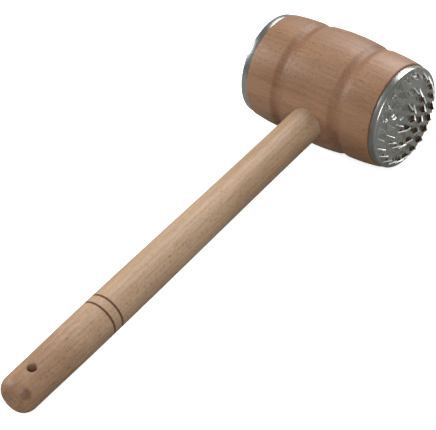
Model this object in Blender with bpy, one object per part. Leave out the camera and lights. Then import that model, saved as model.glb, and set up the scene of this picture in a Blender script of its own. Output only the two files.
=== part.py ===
"""Wooden meat mallet: a turned beech head with a pressed steel cap on each end,
one cap smooth and one pierced into rings of teeth, on a turned beech handle.

The mallet lies as it does on a worktop, on the belly of the head and the butt of
the handle. Units are metres. The head's axis is X, with the teeth towards +X, the
handle runs towards -Y, and the worktop is z = 0.
"""
import math

import bmesh
import bpy
from mathutils import Matrix, Vector

# ---------------------------------------------------------------- sizes
GAP = 0.0003                 # clearance left between pieces that touch

# Head: the wood that shows between the two caps
HEAD_WOOD_LENGTH = 0.0874
BELLY_RADIUS = 0.0348        # at the middle of the head
BELLY_LAND = 0.0060          # width of the level land at the middle
MIDDLE_EDGE_RADIUS = 0.0339  # middle bead, where it meets a groove
OUTER_EDGE_RADIUS = 0.0334   # outer bead, where it meets a groove
SHOULDER_RADIUS = 0.0319     # outer bead, where it meets a cap
OUTER_BOW = 0.00035          # how far an outer bead bows out
SHOULDER_ROUND = 0.0007
GROOVE_SPACING = 0.0412      # between the two groove centres
GROOVE_WIDTH = 0.0092
GROOVE_DEPTH = 0.0011
SPIGOT_CHAMFER = 0.0010

# Caps: drawn from steel sheet
SHEET = 0.0008
CAP_RADIUS = 0.0310
SKIRT_WIDTH = 0.0046
FOLD_RADIUS = 0.0014         # outside of the fold between skirt and face

# Teeth: triangular tongues cut in the face and bent up, in rings
TOOTH_MARGIN = 0.0017        # from the cap's edge to the outer ring's fold line
RING_STEP = 0.0096           # between one ring's fold line and the next
TOOTH_SPACING = 0.0076       # least distance between teeth along a ring
TOOTH_BASE = 0.0060
TOOTH_LENGTH = 0.0050        # from the fold line to the tip, along the tongue
TOOTH_LEAN = math.radians(45)    # angle between the tongue and the face
OUTER_TURN = math.radians(9.7)   # where the first tooth of the outer ring stands
INNER_TURN = math.radians(5)     # and of each ring inside it
TOOTH_KERF = 0.0001
CENTRE_KEEP = 0.0010         # sheet left round the middle of the face

# Handle: sizes are along its own axis, from the head's axis or from the butt
HANDLE_REACH = 0.2934        # head axis to butt
HANDLE_OFFSET = 0.0020       # from the middle of the head towards the teeth
NECK_RADIUS = 0.0105
GRIP_RADIUS = 0.0117
BUTT_RADIUS = 0.01135
SWELL_FROM_HEAD = 0.030      # where the handle starts to thicken
GRIP_FROM_BUTT = 0.062       # where it is thickest
BUTT_ROUND_LENGTH = 0.0074
BUTT_FLAT_RADIUS = 0.0062
RING_CUT_FROM_BUTT = (0.0773, 0.0707)
RING_CUT_WIDTH = 0.0011
RING_CUT_DEPTH = 0.0004
HANG_HOLE_FROM_BUTT = 0.0170
HANG_HOLE_RADIUS = 0.0027
HANG_HOLE_CHAMFER = 0.0004
HANG_HOLE_TURN = math.radians(7)    # its top leans towards the teeth
CENTRE_PIT_RADIUS = 0.0009   # mark of the lathe's centre in the butt
CENTRE_PIT_DEPTH = 0.0015

# How finely round shapes are divided; multiples of four keep a vertex at the
# bottom, where the mallet rests
HEAD_SIDES = 80
HANDLE_SIDES = 48
HOLE_SIDES = 32

# ---------------------------------------------------------------- derived
HALF_WOOD = HEAD_WOOD_LENGTH / 2
SKIRT_EDGE = HALF_WOOD + GAP
FACE = SKIRT_EDGE + SKIRT_WIDTH
SPIGOT_RADIUS = CAP_RADIUS - SHEET - GAP
SPIGOT_END = FACE - SHEET - GAP
TOOTH_HEIGHT = TOOTH_LENGTH * math.sin(TOOTH_LEAN)


def ease(t):
    """0 to 1 with a level start and a level end."""
    return (1 - math.cos(math.pi * min(max(t, 0), 1))) / 2


def arc(cx, cr, rx, rr, start, end, steps):
    """Points (x, r) on an ellipse, between two angles in degrees."""
    turn = [math.radians(start + (end - start) * i / steps) for i in range(steps + 1)]
    return [(cx + rx * math.cos(a), cr + rr * math.sin(a)) for a in turn]


# ---------------------------------------------------------------- profiles
def belly_radius(x):
    """Radius of the middle bead of the head."""
    edge = (GROOVE_SPACING - GROOVE_WIDTH) / 2
    t = (abs(x) - BELLY_LAND / 2) / (edge - BELLY_LAND / 2)
    return BELLY_RADIUS - (BELLY_RADIUS - MIDDLE_EDGE_RADIUS) * max(t, 0) ** 1.6


def head_half_profile():
    """(x, r) from the middle of the head to the end of one spigot."""
    centre, half = GROOVE_SPACING / 2, GROOVE_WIDTH / 2
    points = []
    inner = centre - half
    for i in range(8):
        x = BELLY_LAND / 2 + (inner - BELLY_LAND / 2) * i / 7
        points.append((x, belly_radius(x)))
    for i in range(1, 8):
        t = i / 8
        lip = MIDDLE_EDGE_RADIUS + (OUTER_EDGE_RADIUS - MIDDLE_EDGE_RADIUS) * t
        points.append((inner + GROOVE_WIDTH * t,
                       lip - GROOVE_DEPTH * math.sin(math.pi * t) ** 1.4))
    outer, shoulder = centre + half, HALF_WOOD - SHOULDER_ROUND
    for i in range(7):
        t = i / 6
        points.append((outer + (shoulder - outer) * t,
                       OUTER_EDGE_RADIUS + (SHOULDER_RADIUS - OUTER_EDGE_RADIUS) * t
                       + OUTER_BOW * math.sin(math.pi * t)))
    points += arc(shoulder, SHOULDER_RADIUS - SHOULDER_ROUND,
                  SHOULDER_ROUND, SHOULDER_ROUND, 90, 0, 4)[1:]
    points += [(HALF_WOOD, SPIGOT_RADIUS),
               (SPIGOT_END - SPIGOT_CHAMFER, SPIGOT_RADIUS),
               (SPIGOT_END, SPIGOT_RADIUS - SPIGOT_CHAMFER),
               (SPIGOT_END, 0)]
    return points


def cap_profile():
    """(x, r) round the section of a cap's shell, from inside to outside."""
    inner_fold = FOLD_RADIUS - SHEET
    points = [(FACE - SHEET, 0), (FACE - SHEET, CAP_RADIUS - FOLD_RADIUS)]
    points += arc(FACE - FOLD_RADIUS, CAP_RADIUS - FOLD_RADIUS,
                  inner_fold, inner_fold, 0, 90, 3)[1:]
    points += [(SKIRT_EDGE, CAP_RADIUS - SHEET), (SKIRT_EDGE, CAP_RADIUS)]
    points += arc(FACE - FOLD_RADIUS, CAP_RADIUS - FOLD_RADIUS,
                  FOLD_RADIUS, FOLD_RADIUS, 90, 0, 6)
    points += [(FACE, 0)]
    return points


def handle_radius(s):
    """Radius of the handle at a distance s from the head's axis."""
    grip = HANDLE_REACH - GRIP_FROM_BUTT
    if s < grip:
        swell = ease((s - SWELL_FROM_HEAD) / (grip - SWELL_FROM_HEAD))
        return NECK_RADIUS + (GRIP_RADIUS - NECK_RADIUS) * swell
    end = HANDLE_REACH - BUTT_ROUND_LENGTH
    return GRIP_RADIUS + (BUTT_RADIUS - GRIP_RADIUS) * ease((s - grip) / (end - grip))


def handle_profile():
    """(s, r) of the handle from the head's surface outwards to the butt."""
    end = HANDLE_REACH - BUTT_ROUND_LENGTH
    stops = [(end * i / 16, 0) for i in range(17)]
    for distance in RING_CUT_FROM_BUTT:
        s = HANDLE_REACH - distance
        stops = [p for p in stops if abs(p[0] - s) > RING_CUT_WIDTH]
        stops += [(s - RING_CUT_WIDTH / 2, 0), (s, RING_CUT_DEPTH), (s + RING_CUT_WIDTH / 2, 0)]
    points = [(s, handle_radius(s) - cut) for s, cut in sorted(stops)]
    points += arc(end, BUTT_FLAT_RADIUS, BUTT_ROUND_LENGTH, BUTT_RADIUS - BUTT_FLAT_RADIUS,
                  90, 0, 7)[1:]
    points += [(HANDLE_REACH, CENTRE_PIT_RADIUS),
               (HANDLE_REACH - CENTRE_PIT_DEPTH, 0)]
    return points


# The handle slopes down until it meets the worktop
TILT = min(math.asin(BELLY_RADIUS / math.hypot(s, r)) - math.atan2(r, s)
           for s, r in handle_profile() if s > HANDLE_REACH / 2)
REACH_Y = max(s * math.cos(TILT) + r * math.sin(TILT) for s, r in handle_profile())


# ---------------------------------------------------------------- making
def remove_all():
    for thing in list(bpy.data.objects):
        bpy.data.objects.remove(thing, do_unlink=True)


def principled(name, colour, roughness, metallic=0.0):
    material = bpy.data.materials.new(name)
    material.use_nodes = True
    shader = material.node_tree.nodes["Principled BSDF"]
    shader.inputs["Base Color"].default_value = (*colour, 1)
    shader.inputs["Roughness"].default_value = roughness
    shader.inputs["Metallic"].default_value = metallic
    return material


def turned(profile, sides, along, across):
    """A closed turned shape: the profile (x, r) spun about the axis `along`."""
    along, across = Vector(along), Vector(across)
    bm = bmesh.new()
    verts = [bm.verts.new(along * x + across * r) for x, r in profile]
    edges = [bm.edges.new(pair) for pair in zip(verts, verts[1:])]
    bmesh.ops.spin(bm, geom=verts + edges, cent=(0, 0, 0), axis=along,
                   angle=2 * math.pi, steps=sides, use_merge=True)
    bmesh.ops.remove_doubles(bm, verts=bm.verts, dist=1e-7)
    bmesh.ops.recalc_face_normals(bm, faces=bm.faces)
    return bm


def prism(bm, corners, offset):
    """Adds a flat polygon drawn out along an offset."""
    face = bm.faces.new([bm.verts.new(c) for c in corners])
    made = bmesh.ops.extrude_face_region(bm, geom=[face])["geom"]
    bmesh.ops.translate(bm, vec=offset,
                        verts=[v for v in made if isinstance(v, bmesh.types.BMVert)])


def put(name, bm, material, smooth=35):
    """Turns a bmesh into a named object on the mallet's axes."""
    bmesh.ops.recalc_face_normals(bm, faces=bm.faces)
    mesh = bpy.data.meshes.new(name)
    bm.to_mesh(mesh)
    bm.free()
    mesh.polygons.foreach_set("use_smooth", [True] * len(mesh.polygons))
    mesh.set_sharp_from_angle(angle=math.radians(smooth))
    thing = bpy.data.objects.new(name, mesh)
    bpy.context.collection.objects.link(thing)
    thing.parent = axes
    if material:
        mesh.materials.append(material)
    else:
        thing.hide_render = True
        thing.display_type = "WIRE"
    return thing


def boolean(target, tool, operation):
    cut = target.modifiers.new(tool.name, "BOOLEAN")
    cut.operation = operation
    cut.solver = "EXACT"
    cut.object = tool


def tooth_places():
    """(fold line radius, angle) of every tooth, ring by ring from the edge in."""
    radius, turn = CAP_RADIUS - TOOTH_MARGIN, OUTER_TURN
    while radius > TOOTH_LENGTH + CENTRE_KEEP:
        count = int(2 * math.pi * radius / TOOTH_SPACING)
        for i in range(count):
            yield radius, turn + TILT + 2 * math.pi * i / count
        radius, turn = radius - RING_STEP, INNER_TURN


remove_all()
beech = principled("beech", (0.40, 0.25, 0.15), 0.55)
beech_handle = principled("beech_handle", (0.42, 0.27, 0.17), 0.55)
steel = principled("steel", (0.56, 0.57, 0.55), 0.30, 1.0)
toothed_steel = principled("toothed_steel", (0.50, 0.50, 0.48), 0.36, 1.0)

# The head's centre, placed so that the mallet stands on z = 0 and its box is
# centred over the origin
axes = bpy.data.objects.new("mallet", None)
bpy.context.collection.objects.link(axes)
axes.location = (-TOOTH_HEIGHT / 2, (REACH_Y - BELLY_RADIUS) / 2, BELLY_RADIUS)

# Head: one turned billet with a spigot at each end for the caps
half = head_half_profile()
head = put("head_barrel",
           turned([(-x, r) for x, r in reversed(half)] + half, HEAD_SIDES, (1, 0, 0), (0, 0, -1)),
           beech)

# Mortise right through the head for the handle
mortise = put("mortise_cutter",
              turned([(-BELLY_RADIUS * 1.5, 0), (-BELLY_RADIUS * 1.5, NECK_RADIUS + GAP),
                      (BELLY_RADIUS * 1.5, NECK_RADIUS + GAP), (BELLY_RADIUS * 1.5, 0)],
                     HANDLE_SIDES, (0, -1, 0), (0, 0, -1)), None)
mortise.location.x = HANDLE_OFFSET
mortise.rotation_euler.x = TILT
boolean(head, mortise, "DIFFERENCE")

# Handle: its tenon runs through the head and is trimmed to the head's curve
tenon = [(-BELLY_RADIUS, NECK_RADIUS * i / 6) for i in range(7)]
bm = turned(tenon + handle_profile(), HANDLE_SIDES, (0, -1, 0), (0, 0, -1))
for vert in bm.verts:
    if vert.co.y > BELLY_RADIUS * 0.9:
        vert.co.y = math.sqrt(belly_radius(vert.co.x + HANDLE_OFFSET) ** 2 - vert.co.z ** 2)
handle = put("handle", bm, beech_handle)
handle.location.x = HANDLE_OFFSET
handle.rotation_euler.x = TILT

# Hanging hole through the handle's axis, its rims eased
rim = handle_radius(HANDLE_REACH - HANG_HOLE_FROM_BUTT)
ease_depth = math.sqrt(rim ** 2 - HANG_HOLE_RADIUS ** 2) - HANG_HOLE_CHAMFER
top = rim * 1.5
hole = [(-top, 0), (-top, HANG_HOLE_RADIUS + top - ease_depth), (-ease_depth, HANG_HOLE_RADIUS),
        (ease_depth, HANG_HOLE_RADIUS), (top, HANG_HOLE_RADIUS + top - ease_depth), (top, 0)]
bm = turned(hole, HOLE_SIDES, (0, 0, 1), (1, 0, 0))
bmesh.ops.rotate(bm, cent=(0, 0, 0), matrix=Matrix.Rotation(HANG_HOLE_TURN, 3, "Y"), verts=bm.verts)
bmesh.ops.translate(bm, vec=(0, HANG_HOLE_FROM_BUTT - HANDLE_REACH, 0), verts=bm.verts)
hole_cutter = put("hanging_hole_cutter", bm, None)
hole_cutter.location.x = HANDLE_OFFSET
hole_cutter.rotation_euler.x = TILT
boolean(handle, hole_cutter, "DIFFERENCE")

# Smooth cap, on the -X spigot
smooth_cap = put("smooth_cap",
                 turned([(-x, r) for x, r in cap_profile()], HEAD_SIDES, (1, 0, 0), (0, 0, -1)),
                 steel)

# Toothed cap, on the +X spigot: tongues cut through the face and bent up
toothed_cap = put("toothed_cap",
                  turned(cap_profile(), HEAD_SIDES, (1, 0, 0), (0, 0, -1)), toothed_steel, 25)
openings, tongues = bmesh.new(), bmesh.new()
root = 0.35 * SHEET          # how far a tongue runs into the sheet at its fold
for radius, angle in tooth_places():
    out = Vector((0, math.cos(angle), math.sin(angle)))
    side = Vector((0, -math.sin(angle), math.cos(angle)))
    rise = Vector((math.sin(TOOTH_LEAN), 0, 0)) - out * math.cos(TOOTH_LEAN)
    normal = Vector((math.cos(TOOTH_LEAN), 0, 0)) + out * math.sin(TOOTH_LEAN)
    fold = Vector((FACE, 0, 0)) + out * radius
    half_base = TOOTH_BASE / 2
    low = Vector((-3 * SHEET, 0, 0))
    prism(openings, [p - low / 2 for p in (fold + side * half_base, fold - out * TOOTH_LENGTH,
                                           fold - side * half_base)], low)
    half_base -= TOOTH_KERF
    prism(tongues, [fold - rise * root + side * half_base, fold + rise * TOOTH_LENGTH,
                    fold - rise * root - side * half_base], -normal * SHEET)
opening_cutter = put("tooth_opening_cutter", openings, None)
tongue_shapes = put("tooth_tongues", tongues, None)
boolean(toothed_cap, opening_cutter, "DIFFERENCE")
boolean(toothed_cap, tongue_shapes, "UNION")
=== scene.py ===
import math
import random

import bmesh
import bpy
from mathutils import Matrix, Vector


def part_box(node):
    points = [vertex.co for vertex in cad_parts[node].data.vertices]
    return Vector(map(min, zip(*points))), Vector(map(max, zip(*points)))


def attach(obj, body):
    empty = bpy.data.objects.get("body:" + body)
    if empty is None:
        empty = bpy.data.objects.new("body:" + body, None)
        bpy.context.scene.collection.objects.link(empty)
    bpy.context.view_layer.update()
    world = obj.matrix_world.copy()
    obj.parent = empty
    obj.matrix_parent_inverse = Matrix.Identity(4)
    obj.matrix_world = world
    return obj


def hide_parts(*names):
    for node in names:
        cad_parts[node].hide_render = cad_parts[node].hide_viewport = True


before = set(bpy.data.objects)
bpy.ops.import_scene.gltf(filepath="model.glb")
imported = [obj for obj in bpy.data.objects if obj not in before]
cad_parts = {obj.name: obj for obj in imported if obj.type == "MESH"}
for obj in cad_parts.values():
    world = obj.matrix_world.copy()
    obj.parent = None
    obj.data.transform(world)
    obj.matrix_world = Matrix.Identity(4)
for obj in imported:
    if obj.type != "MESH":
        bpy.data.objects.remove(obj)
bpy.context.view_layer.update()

# ================================================================ head barrel
# One billet of steamed beech turned between centres: a fat middle bead, a smaller
# bead on each side of it, and a spigot at each end that is driven into a steel cap.
# A mortise is bored right through the middle bead for the handle.
barrel_low, barrel_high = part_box("head_barrel")
barrel_middle = (barrel_low + barrel_high) / 2
belly = 0.0348               # radius at the middle of the head
belly_land = 0.0060
half_wood = 0.0437           # from the middle to where a cap starts
bead_edge = 0.0339           # radius of the middle bead where it meets a groove
outer_bead = 0.0334          # radius of an outer bead where it meets a groove
shoulder = 0.0319            # and where it meets the cap
groove_place = 0.0206
groove_width = 0.0092        # a shallow cove
groove_depth = 0.0011
bow = 0.00035
spigot_radius = 0.0299
spigot_end = 0.0475
mortise_radius = 0.01068
handle_offset = 0.0020       # the mortise stands a little towards the teeth
handle_slope = math.radians(4.7095)

# The grain runs along Z in each piece's own axes, whichever way the piece lies
head_axes = Matrix.Translation(barrel_middle) @ Matrix.Rotation(math.pi / 2, 4, "Y")
handle_axes = (Matrix.Translation(barrel_middle + Vector((handle_offset, 0, 0)))
               @ Matrix.Rotation(math.pi / 2 + handle_slope, 4, "X"))


def turned(stations, axes, steps=192):
    """A solid turned on a lathe: stations are (along, radius, rounding), spun round Z."""
    bm = bmesh.new()
    verts = [bm.verts.new((s[1], 0, s[0])) for s in stations]
    for pair in zip(verts, verts[1:]):
        bm.edges.new(pair)
    for vert, station in zip(verts, stations):
        if len(station) > 2:
            bmesh.ops.bevel(bm, geom=[vert], offset=station[2], offset_type="OFFSET",
                            segments=4, profile=0.5, affect="VERTICES", material=-1)
    bmesh.ops.spin(bm, geom=bm.verts[:] + bm.edges[:], cent=(0, 0, 0), axis=(0, 0, 1),
                   angle=2 * math.pi, steps=steps, use_merge=True)
    bmesh.ops.remove_doubles(bm, verts=bm.verts, dist=1e-7)
    bmesh.ops.transform(bm, matrix=axes, verts=bm.verts)
    bmesh.ops.recalc_face_normals(bm, faces=bm.faces)
    return bm


def piece(name, bm, *materials):
    """The finished bmesh as an object, smooth except at its real edges."""
    mesh = bpy.data.meshes.new(name)
    bm.to_mesh(mesh)
    bm.free()
    mesh.polygons.foreach_set("use_smooth", [True] * len(mesh.polygons))
    mesh.set_sharp_from_angle(angle=math.radians(32))
    made = bpy.data.objects.new(name, mesh)
    bpy.context.scene.collection.objects.link(made)
    for material in materials:
        mesh.materials.append(material)
    return made


def cut_with(target, bm, operation="DIFFERENCE"):
    """Cuts a shape out of a piece, or welds it on, and does away with the shape."""
    tool = piece(target.name + "_tool", bm, *target.data.materials)
    modifier = target.modifiers.new("cut", "BOOLEAN")
    modifier.solver, modifier.operation, modifier.object = "EXACT", operation, tool
    shapes = bpy.context.evaluated_depsgraph_get()
    result = bpy.data.meshes.new_from_object(target.evaluated_get(shapes))
    target.modifiers.clear()
    target.data = result
    bpy.data.objects.remove(tool)
    result.set_sharp_from_angle(angle=math.radians(32))


def new_finish(name):
    """A new material, its shader, and a function that adds a node to it."""
    material = bpy.data.materials.new(name)
    material.use_nodes = True
    tree = material.node_tree

    def add(kind, inputs, output=0, **settings):
        node = tree.nodes.new("ShaderNode" + kind)
        for key, value in settings.items():
            setattr(node, key, value)
        for key, value in inputs.items():
            if isinstance(value, bpy.types.NodeSocket):
                tree.links.new(value, node.inputs[key])
            else:
                node.inputs[key].default_value = value
        return node.outputs[output]

    return material, tree.nodes["Principled BSDF"], add


def beech(name, axes, pale, pith, ring_width, bands, patches=(), ray_length=0.0026):
    """Fine sanded beech: growth rings about a pith, ray flecks, pores and turning marks.
    bands are (place along the grain, half width, softness, colour) of dark rings: char where a
    ring is burnt, painted shade where it lies in a groove; a patch is (centre, radius, colour)."""
    material, shader, add = new_finish(name)
    link = material.node_tree.links.new

    def maths(kind, a, b=0.0, c=0.0):
        return add("Math", {0: a, 1: b, 2: c}, operation=kind)

    def stretched(vector, by):
        return add("VectorMath", {0: vector, 1: by}, operation="MULTIPLY")

    def step(value, start, end):
        return add("MapRange", {"Value": value, "From Min": start, "From Max": end},
                   interpolation_type="SMOOTHSTEP")

    def blend(factor, a, b, kind="MIX"):
        return add("Mix", {0: factor, 6: a, 7: b}, 2, data_type="RGBA", blend_type=kind)

    def cloudy(vector, by, detail=2.0):
        return add("TexNoise", {"Vector": stretched(vector, by), "Scale": 1.0, "Detail": detail})

    own = add("Mapping", {"Vector": add("TexCoord", {}, "Object"),
                          "Location": axes.to_translation(),
                          "Rotation": axes.to_euler()}, vector_type="TEXTURE")
    place = own.node.outputs[0]
    split = add("SeparateXYZ", {0: place}, "Z")

    # Growth rings, wandering a little, each year with its own strength
    drift = add("TexNoise", {"Vector": stretched(place, (28, 28, 6)), "Scale": 1.0,
                             "Detail": 2.0}, "Color")
    bent = add("VectorMath", {0: drift, 1: (0.004, 0.004, 0.0), 2: place},
               operation="MULTIPLY_ADD")
    spoke = add("VectorMath", {0: bent, 1: (*pith, 0)}, operation="SUBTRACT")
    flat_spoke = stretched(spoke, (1, 1, 0))
    radius = add("VectorMath", {0: flat_spoke}, "Value", operation="LENGTH")
    spoke_y = add("SeparateXYZ", {0: spoke}, "Y")
    spoke_x = spoke_y.node.outputs["X"]
    angle = maths("ARCTAN2", spoke_y, spoke_x)
    years = maths("DIVIDE", radius, ring_width)
    within = maths("FRACT", years)
    year_strength = add("TexWhiteNoise", {"W": maths("FLOOR", years)}, "Value",
                        noise_dimensions="1D")
    late = maths("MULTIPLY", step(within, 0.25, 0.93), step(within, 1.0, 0.95))
    late = maths("MULTIPLY", late, maths("MULTIPLY_ADD", year_strength, 0.75, 0.25))

    # Rays, cut across as short dark flecks and lengthwise as broad bright ones
    reach = math.hypot(*pith)
    ray_place = add("CombineXYZ", {"X": maths("MULTIPLY", angle, reach / 0.00042),
                                   "Y": maths("DIVIDE", radius, ray_length),
                                   "Z": maths("DIVIDE", split, 0.0022)})
    rays = add("TexVoronoi", {"Vector": ray_place, "Scale": 1.0, "Randomness": 1.0}, "Distance")
    ray_chance = add("SeparateColor", {0: rays.node.outputs["Color"]})
    flecks = step(maths("MULTIPLY_ADD", ray_chance, 0.22, rays), 0.58, 0.24)
    # and a few stronger brown ones, scattered thinly
    gum_place = stretched(place, (1 / 0.0016, 1 / 0.0016, 1 / 0.0060))
    gum = add("TexVoronoi", {"Vector": gum_place, "Scale": 1.0, "Randomness": 1.0}, "Distance")
    gum_chance = add("SeparateColor", {0: gum.node.outputs["Color"]})
    gum_flecks = step(maths("MULTIPLY_ADD", gum_chance, 0.75, gum), 0.32, 0.20)

    pores = cloudy(place, (5200, 5200, 330))
    streaks = cloudy(place, (900, 900, 55), 4.0)
    tint = cloudy(place, (34, 34, 11))

    # Colour, from the palest early wood to the darkest marks
    colour = blend(step(streaks, 0.30, 0.70), (*pale, 1), (*[c * 0.86 for c in pale], 1))
    colour = blend(step(tint, 0.35, 0.68), colour, (0.80, 0.74, 0.69, 1), "MULTIPLY")
    colour = blend(maths("MULTIPLY", late, 0.30), colour, (0.66, 0.56, 0.48, 1), "MULTIPLY")
    colour = blend(maths("MULTIPLY", flecks, 0.42), colour, (0.60, 0.50, 0.43, 1), "MULTIPLY")
    colour = blend(maths("MULTIPLY", gum_flecks, 0.60), colour, (0.46, 0.34, 0.27, 1), "MULTIPLY")
    colour = blend(step(pores, 0.58, 0.72), colour, (0.80, 0.74, 0.70, 1), "MULTIPLY")
    # Dark rings: char where a ring is burnt, painted shade where a ring lies in one of the head's
    # grooves
    for where, half_width, soft, darkening_tone in bands:
        away = maths("ABSOLUTE", maths("SUBTRACT", split, where))
        ragged = maths("MULTIPLY_ADD", cloudy(place, (900, 900, 900)), half_width * 0.3, away)
        colour = blend(step(ragged, half_width * 1.15 + soft, half_width * 1.15), colour, darkening_tone,
                       "MULTIPLY")
    # Dark patches: a brown stain, and a soft darkening of the handle towards the butt
    for centre, size, darkening_tone in patches:
        away = add("VectorMath", {0: place, 1: centre}, "Value", operation="DISTANCE")
        ragged = maths("MULTIPLY_ADD", cloudy(place, (420, 420, 140)), size * 0.9, away)
        colour = blend(step(ragged, size * 1.5, size * 0.75), colour, darkening_tone, "MULTIPLY")

    # End grain looks a little redder
    facing = add("VectorMath", {0: add("NewGeometry", {}, "Normal"),
                                1: axes.to_3x3() @ Vector((0, 0, 1))}, "Value",
                 operation="DOT_PRODUCT")
    end_grain = step(maths("ABSOLUTE", facing), 0.70, 0.97)
    colour = blend(end_grain, colour, (1.0, 0.96, 0.93, 1), "MULTIPLY")
    link(colour, shader.inputs["Base Color"])

    rough = maths("MULTIPLY_ADD", streaks, 0.16, 0.40)
    rough = maths("MULTIPLY_ADD", flecks, 0.06, rough)
    link(rough, shader.inputs["Roughness"])
    shader.inputs["Specular IOR Level"].default_value = 0.42

    turning = add("TexNoise", {"Vector": stretched(place, (60, 60, 2400)), "Scale": 1.0,
                               "Detail": 1.0})
    height = maths("MULTIPLY_ADD", pores, -0.9, turning)
    height = maths("MULTIPLY_ADD", flecks, -0.5, height)
    height = maths("MULTIPLY_ADD", late, 0.4, height)
    relief = add("Bump", {"Height": height, "Strength": 1.0, "Distance": 0.000016})
    link(relief, shader.inputs["Normal"])
    return material


# Painted shade for the head's two coves, with a slight burnish: their colour is darkened where
# the hollow lies in shade
painted_cove_shade = (0.86, 0.80, 0.76, 1)
head_beech = beech("head_beech", head_axes, (0.345, 0.192, 0.108), (0.012, -0.085), 0.0031,
                   [(-groove_place, groove_width * 0.34, groove_width * 0.3, painted_cove_shade),
                    (groove_place, groove_width * 0.34, groove_width * 0.3, painted_cove_shade)])

half = []
inner_lip, outer_lip = groove_place - groove_width / 2, groove_place + groove_width / 2
for i in range(17):
    t = i / 16
    fall = t ** 1.6
    half.append((belly_land / 2 + (inner_lip - belly_land / 2) * t,
                 belly - (belly - bead_edge) * fall))
for i in range(1, 24):
    t = i / 24
    half.append((inner_lip + groove_width * t,
                 bead_edge + (outer_bead - bead_edge) * t
                 - groove_depth * math.sin(math.pi * t) ** 1.4))
for i in range(13):
    t = i / 12
    half.append((outer_lip + (half_wood - outer_lip) * t,
                 outer_bead + (shoulder - outer_bead) * t + bow * math.sin(math.pi * t)))
half[-1] += (0.0007,)
half += [(half_wood, spigot_radius), (spigot_end, spigot_radius, 0.0010), (spigot_end, 0)]
head = piece("beech_head", turned([(-s[0], *s[1:]) for s in reversed(half)] + half, head_axes),
             head_beech)
bored = 1.5 * belly
cut_with(head, turned([(-bored, 0), (-bored, mortise_radius), (bored, mortise_radius),
                       (bored, 0)], handle_axes, 128))
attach(head, "root")
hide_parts("head_barrel")

# ===================================================================== handle
# A turned beech handle, its tenon glued right through the head and trimmed to the
# head's curve. Two rings are burnt round it above the grip, a hanging hole is drilled
# through near the butt, and the lathe's centres have left their marks in the end.
reach = 0.2934               # from the head's axis to the butt
neck_radius = 0.0105
grip_radius = 0.0117
butt_radius = 0.01135
swell_start = 0.030
grip_place = reach - 0.062
butt_round = 0.0074
butt_flat = 0.0062
burnt_rings = (reach - 0.0773, reach - 0.0707)
burnt_width = 0.0011
burnt_depth = 0.0004
hole_place = reach - 0.0170
hole_radius = 0.0027
hole_ease = 0.0004
hole_turn = math.radians(7)  # the hole's top leans towards the teeth
print_outer = 0.0053         # the ring that the lathe's driver pressed into the butt
print_inner = 0.0046
print_slope = 0.0002
print_depth = 0.0003
pit_radius = 0.0009          # the centre's own mark
pit_depth = 0.0024
prong_place = (0.0070, 0.0028)
prong_depth = 0.0024         # to the shoulder of the mark; it ends 0.6 mm deeper


def handle_radius(along):
    """The handle swells gently to the grip and thins a little to the butt."""
    if along < grip_place:
        t = (along - swell_start) / (grip_place - swell_start)
        start, end = neck_radius, grip_radius
    else:
        t = (along - grip_place) / (reach - butt_round - grip_place)
        start, end = grip_radius, butt_radius
    return start + (end - start) * (1 - math.cos(math.pi * min(max(t, 0), 1))) / 2


char = (0.34, 0.24, 0.19, 1)
# The first patch is a brown stain by the butt; the second, very soft, darkens and reddens the
# handle towards the butt
handle_beech = beech("handle_beech", handle_axes, (0.50, 0.345, 0.222), (0.029, -0.0196),
                     0.0026,
                     [(place, burnt_width * 0.5, burnt_width * 0.3, char)
                      for place in burnt_rings],
                     [((0.0082, 0.0067, reach - 0.0035), 0.0045, (0.55, 0.40, 0.36, 1)),
                      ((0.004, -0.002, reach + 0.010), 0.085, (0.76, 0.68, 0.64, 1))])

stations = [(-belly, 0), (-belly, neck_radius)]
straight = [swell_start + (reach - butt_round - swell_start) * i / 64 for i in range(65)]
for ring in burnt_rings:
    straight = [s for s in straight if abs(s - ring) > burnt_width]
    straight += [ring - burnt_width / 2, ring - burnt_width / 5, ring + burnt_width / 5,
                 ring + burnt_width / 2]
for s in sorted(straight):
    burnt = any(abs(s - ring) < burnt_width / 3 for ring in burnt_rings)
    stations.append((s, handle_radius(s) - (burnt_depth if burnt else 0)))
for i in range(1, 13):
    a = math.pi / 2 * i / 12
    stations.append((reach - butt_round * (1 - math.sin(a)),
                     butt_flat + (butt_radius - butt_flat) * math.cos(a)))
stations += [(reach, print_outer), (reach - print_depth, print_outer - print_slope),
             (reach - print_depth, print_inner + print_slope), (reach, print_inner),
             (reach, pit_radius, 0.0001), (reach - pit_depth, 0)]
handle_bm = turned(stations, handle_axes, 128)
for vert in handle_bm.verts:
    far = vert.co - barrel_middle
    if far.y > belly * 0.9:
        vert.co.y = barrel_middle.y + math.sqrt((belly - 0.00006) ** 2 - far.z ** 2)
handle = piece("beech_handle", handle_bm, handle_beech)

rim = handle_radius(hole_place)
ease_at = math.sqrt(rim ** 2 - hole_radius ** 2) - hole_ease
top = rim * 1.5
hole_axes = (handle_axes @ Matrix.Translation((0, 0, hole_place))
             @ Matrix.Rotation(-hole_turn, 4, "Z") @ Matrix.Rotation(-math.pi / 2, 4, "X"))
cut_with(handle, turned([(-top, 0), (-top, hole_radius + top - ease_at), (-ease_at, hole_radius),
                         (ease_at, hole_radius), (top, hole_radius + top - ease_at), (top, 0)],
                        hole_axes, 96))
prong_axes = handle_axes @ Matrix.Translation((*prong_place, reach))
cut_with(handle, turned([(-prong_depth - 0.0006, 0), (-prong_depth, 0.00055),
                         (0.0004, 0.00075), (0.0004, 0)],
                        prong_axes, 24))
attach(handle, "root")
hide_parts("handle")

# ================================================================= smooth cap
# A cup drawn from 0.8 mm steel sheet and pressed on the head's -X spigot. Its face is
# plain, for flattening meat.
sheet = 0.0008
cap_radius = 0.0310
skirt_start = half_wood + 0.0003
cap_face = skirt_start + 0.0046
fold_radius = 0.0014


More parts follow.
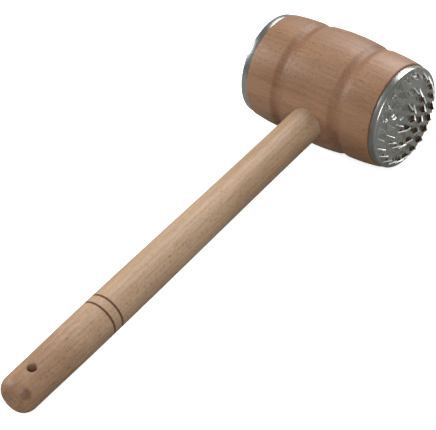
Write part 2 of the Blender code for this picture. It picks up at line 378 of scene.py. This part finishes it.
def pressed_steel(name, colour, roughness, dents=0.0):
    """Sheet steel with fine rings from the press and the polishing wheel, scratches, and
    shallow dents of a given depth where it has been punched."""
    material, shader, add = new_finish(name)
    link = material.node_tree.links.new

    def maths(kind, a, b=0.0, c=0.0):
        return add("Math", {0: a, 1: b, 2: c}, operation=kind)

    def step(value, start, end):
        return add("MapRange", {"Value": value, "From Min": start, "From Max": end},
                   interpolation_type="SMOOTHSTEP")

    own = add("Mapping", {"Vector": add("TexCoord", {}, "Object"),
                          "Location": head_axes.to_translation(),
                          "Rotation": head_axes.to_euler()}, vector_type="TEXTURE")
    z = add("SeparateXYZ", {0: own}, "Z")
    x, y = z.node.outputs["X"], z.node.outputs["Y"]
    across = add("VectorMath", {0: add("CombineXYZ", {"X": x, "Y": y})}, "Value",
                 operation="LENGTH")
    rings = add("TexNoise", {"Vector": add("CombineXYZ", {
        "X": maths("MULTIPLY", across, 5200), "Y": maths("MULTIPLY", z, 5200),
        "Z": maths("MULTIPLY", maths("ARCTAN2", y, x), 2.5)}), "Scale": 1.0, "Detail": 3.0})
    smudge = add("TexNoise", {"Vector": own, "Scale": 95.0, "Detail": 4.0})
    scratches = 0.0
    for turn, seed in ((0.5, 0.0), (1.9, 0.3), (2.7, 0.6)):
        tilted = add("Mapping", {"Vector": own, "Rotation": (seed, seed, turn),
                                 "Location": (seed, 0, 0), "Scale": (120, 7000, 900)})
        line = step(add("TexNoise", {"Vector": tilted, "Scale": 1.0, "Detail": 1.0}), 0.70, 0.76)
        scratches = maths("ADD", line, scratches)
    base = add("Mix", {0: step(smudge, 0.35, 0.7), 6: colour,
                       7: (*[c * 0.86 for c in colour[:3]], 1)}, 2, data_type="RGBA")
    link(base, shader.inputs["Base Color"])
    rough = maths("MULTIPLY_ADD", rings, 0.12, roughness - 0.10)
    rough = maths("MULTIPLY_ADD", smudge, 0.14, rough)
    rough = maths("MULTIPLY_ADD", scratches, 0.10, rough)
    link(rough, shader.inputs["Roughness"])
    shader.inputs["Metallic"].default_value = 1.0
    height = maths("MULTIPLY_ADD", scratches, -0.8, rings)
    # Dents about 2 mm across, on the flat face only
    hollow = maths("MULTIPLY", add("TexVoronoi", {"Vector": own, "Scale": 480.0}, "Distance"),
                   step(across, cap_radius - fold_radius, cap_radius - 2 * fold_radius))
    uneven = add("Bump", {"Height": hollow, "Strength": 1.0, "Distance": dents})
    link(add("Bump", {"Height": height, "Strength": 1.0, "Distance": 0.000005,
                      "Normal": uneven}), shader.inputs["Normal"])
    return material


smooth_steel = pressed_steel("smooth_steel", (0.40, 0.405, 0.395, 1), 0.25)


def cap_stations(way):
    """The wall of a cup, from the middle of its inside round its lip to its outside."""
    walls = [(cap_face - sheet, 0), (cap_face - sheet, cap_radius - sheet, fold_radius - sheet),
             (skirt_start, cap_radius - sheet, 0.00012), (skirt_start, cap_radius, 0.00020),
             (cap_face, cap_radius, fold_radius), (cap_face, 0)]
    return [(way * s[0], *s[1:]) for s in walls]


smooth_cap = piece("steel_smooth_cap", turned(cap_stations(-1), head_axes), smooth_steel)
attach(smooth_cap, "root")
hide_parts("smooth_cap")

# ================================================================ toothed cap
# The same cup for the +X spigot, with rings of triangular tongues cut in its face and
# bent up, each leaning inwards over the opening it leaves.
tooth_base = 0.0067
tooth_length = 0.0052
tooth_lean = math.radians(50)
tooth_root = 0.0005          # how far a tongue's piece runs back past its fold
tooth_clearance = 0.00012    # between a tongue and its opening; also half its blunt tip
bend_start = 0.0001          # a tongue is bent a little at each of five lines
bend_step = 0.00022
bend_lines = 5
weld_depth = 0.00004         # keeps a tongue's top just under the face
punch_above = 0.0010
punch_length = 0.0026
rings_of_teeth = ((0.0293, 24, 9.7), (0.0197, 16, 5.0), (0.0101, 8, 5.0))
toothed_steel = pressed_steel("toothed_steel", (0.40, 0.40, 0.375, 1), 0.26, 0.0004)
sheared_steel = pressed_steel("sheared_steel", (0.95, 0.95, 0.92, 1), 0.45)

toothed_cap = piece("steel_toothed_cap", turned(cap_stations(1), head_axes), toothed_steel,
                    sheared_steel)
openings, tongues = bmesh.new(), bmesh.new()
chance = random.Random(7)
for ring_radius, count, first in rings_of_teeth:
    for i in range(count):
        angle = math.radians(first) + handle_slope + 2 * math.pi * i / count
        # In a tooth's own axes X runs across its fold, Y away from the middle, Z out
        out = Vector((0, math.cos(angle), math.sin(angle)))
        side = Vector((0, -math.sin(angle), math.cos(angle)))
        own = Matrix((side, out, (1, 0, 0))).transposed().to_4x4()
        fold = barrel_middle + Vector((cap_face, 0, 0)) + out * ring_radius
        own = Matrix.Translation(fold) @ own
        hole = bmesh.new()
        corners = [hole.verts.new(c) for c in ((tooth_base / 2, 0, punch_above),
                                               (0, -tooth_length, punch_above),
                                               (-tooth_base / 2, 0, punch_above))]
        lid = hole.faces.new(corners)
        drawn = bmesh.ops.extrude_face_region(hole, geom=[lid])["geom"]
        bmesh.ops.translate(hole, vec=(0, 0, -punch_length),
                            verts=[v for v in drawn if isinstance(v, bmesh.types.BMVert)])
        for face in hole.faces:
            face.material_index = 1
        bmesh.ops.transform(hole, matrix=own, verts=hole.verts)
        part = bpy.data.meshes.new("part")
        hole.to_mesh(part)
        hole.free()
        openings.from_mesh(part)
        # The tongue: flat, sliced across near its fold, then bent up slice by slice
        tongue = bmesh.new()
        length = tooth_length * chance.uniform(0.95, 1.03)
        lean = tooth_lean * chance.uniform(0.92, 1.08)
        half_base = tooth_base / 2 - tooth_clearance
        outline = ((half_base, tooth_root, 0), (half_base, 0, 0),
                   (tooth_clearance, -length, 0), (-tooth_clearance, -length, 0),
                   (-half_base, 0, 0), (-half_base, tooth_root, 0))
        corners = [tongue.verts.new(c) for c in outline]
        flat = tongue.faces.new(corners)
        drawn = bmesh.ops.extrude_face_region(tongue, geom=[flat])["geom"]
        bmesh.ops.translate(tongue, vec=(0, 0, -sheet),
                            verts=[v for v in drawn if isinstance(v, bmesh.types.BMVert)])
        bmesh.ops.recalc_face_normals(tongue, faces=tongue.faces)
        for face in tongue.faces:
            face.material_index = 0 if abs(face.normal.z) > 0.5 else 1
        bends = [-bend_start - bend_step * k for k in range(bend_lines)]
        for line in bends:
            everything = tongue.verts[:] + tongue.edges[:] + tongue.faces[:]
            bmesh.ops.bisect_plane(tongue, geom=everything, dist=1e-7,
                                   plane_co=(0, line, 0), plane_no=(0, 1, 0))
        for line in reversed(bends):
            bmesh.ops.rotate(tongue, cent=(0, line, 0),
                             matrix=Matrix.Rotation(-lean / len(bends), 4, "X"),
                             verts=[v for v in tongue.verts if v.co.y < line - 1e-6])
        bmesh.ops.translate(tongue, vec=(0, 0, -weld_depth), verts=tongue.verts)
        twist = Matrix.Rotation(math.radians(chance.uniform(-2, 2)), 4, "Z")
        bmesh.ops.transform(tongue, matrix=own @ twist, verts=tongue.verts)
        part = bpy.data.meshes.new("part")
        tongue.to_mesh(part)
        tongue.free()
        tongues.from_mesh(part)
bmesh.ops.recalc_face_normals(openings, faces=openings.faces)
bmesh.ops.recalc_face_normals(tongues, faces=tongues.faces)
cut_with(toothed_cap, openings)
cut_with(toothed_cap, tongues, "UNION")
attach(toothed_cap, "root")
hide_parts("toothed_cap")

# =================================================================== the room
# A pale worktop in a dim studio. The biggest and strongest soft light stands behind, a
# second one on the left, and a third in front on the right. Worktop and air are bright
# where the camera sees them and darker where they light the mallet.
worktop_paint, shader, add = new_finish("worktop_paint")
seen = add("LightPath", {}, "Is Camera Ray")
link = worktop_paint.node_tree.links.new
link(add("Mix", {0: seen, 6: (0.34, 0.34, 0.33, 1), 7: (0.85, 0.85, 0.85, 1)}, 2,
         data_type="RGBA"), shader.inputs["Base Color"])
shader.inputs["Roughness"].default_value = 0.8
shader.inputs["Specular IOR Level"].default_value = 0.1
shader.inputs["Emission Color"].default_value = (1, 1, 1, 1)
link(add("Math", {0: seen, 1: 0.72}, operation="MULTIPLY"), shader.inputs["Emission Strength"])
bm = bmesh.new()
bmesh.ops.create_grid(bm, x_segments=1, y_segments=1, size=6)
bmesh.ops.translate(bm, vec=(0, 0, -0.0002), verts=bm.verts)
worktop = piece("worktop", bm, worktop_paint)

world = bpy.data.worlds.new("room")
bpy.context.scene.world = world
world.use_nodes = True
air = world.node_tree.nodes
direct = air.new("ShaderNodeLightPath").outputs["Is Camera Ray"]
level = air.new("ShaderNodeMapRange")
level.inputs["To Min"].default_value = 0.26
level.inputs["To Max"].default_value = 1.0
world.node_tree.links.new(direct, level.inputs["Value"])
world.node_tree.links.new(level.outputs[0], air["Background"].inputs["Strength"])
air["Background"].inputs["Color"].default_value = (1, 1, 1, 1)


def softbox(name, towards, size, power, distance=1.6):
    """A square soft light, standing in one direction from the mallet and facing it."""
    lamp = bpy.data.lights.new(name, "AREA")
    lamp.shape, lamp.size, lamp.energy = "SQUARE", size, power
    holder = bpy.data.objects.new(name, lamp)
    bpy.context.scene.collection.objects.link(holder)
    aim = Vector((0, 0.05, 0.02))
    holder.location = aim + Vector(towards).normalized() * distance
    holder.rotation_euler = (aim - holder.location).to_track_quat("-Z", "Y").to_euler()


softbox("back_light", (-0.12, 0.75, 0.62), 1.1, 27)
softbox("left_light", (-0.85, -0.30, 0.50), 0.6, 14)
softbox("front_light", (0.55, -0.70, 0.55), 0.8, 12)

camera = bpy.data.objects.new("camera", bpy.data.cameras.new("camera"))
bpy.context.scene.collection.objects.link(camera)
camera.location = (0.6822, -0.7863, 0.8740)
camera.rotation_euler = [math.radians(a) for a in (50.791, 2.697, 38.326)]
camera.data.lens = 198.15
camera.data.sensor_width = 36
camera.data.clip_start, camera.data.clip_end = 0.05, 30
bpy.context.scene.camera = camera
bpy.context.scene.view_settings.view_transform = "Standard"
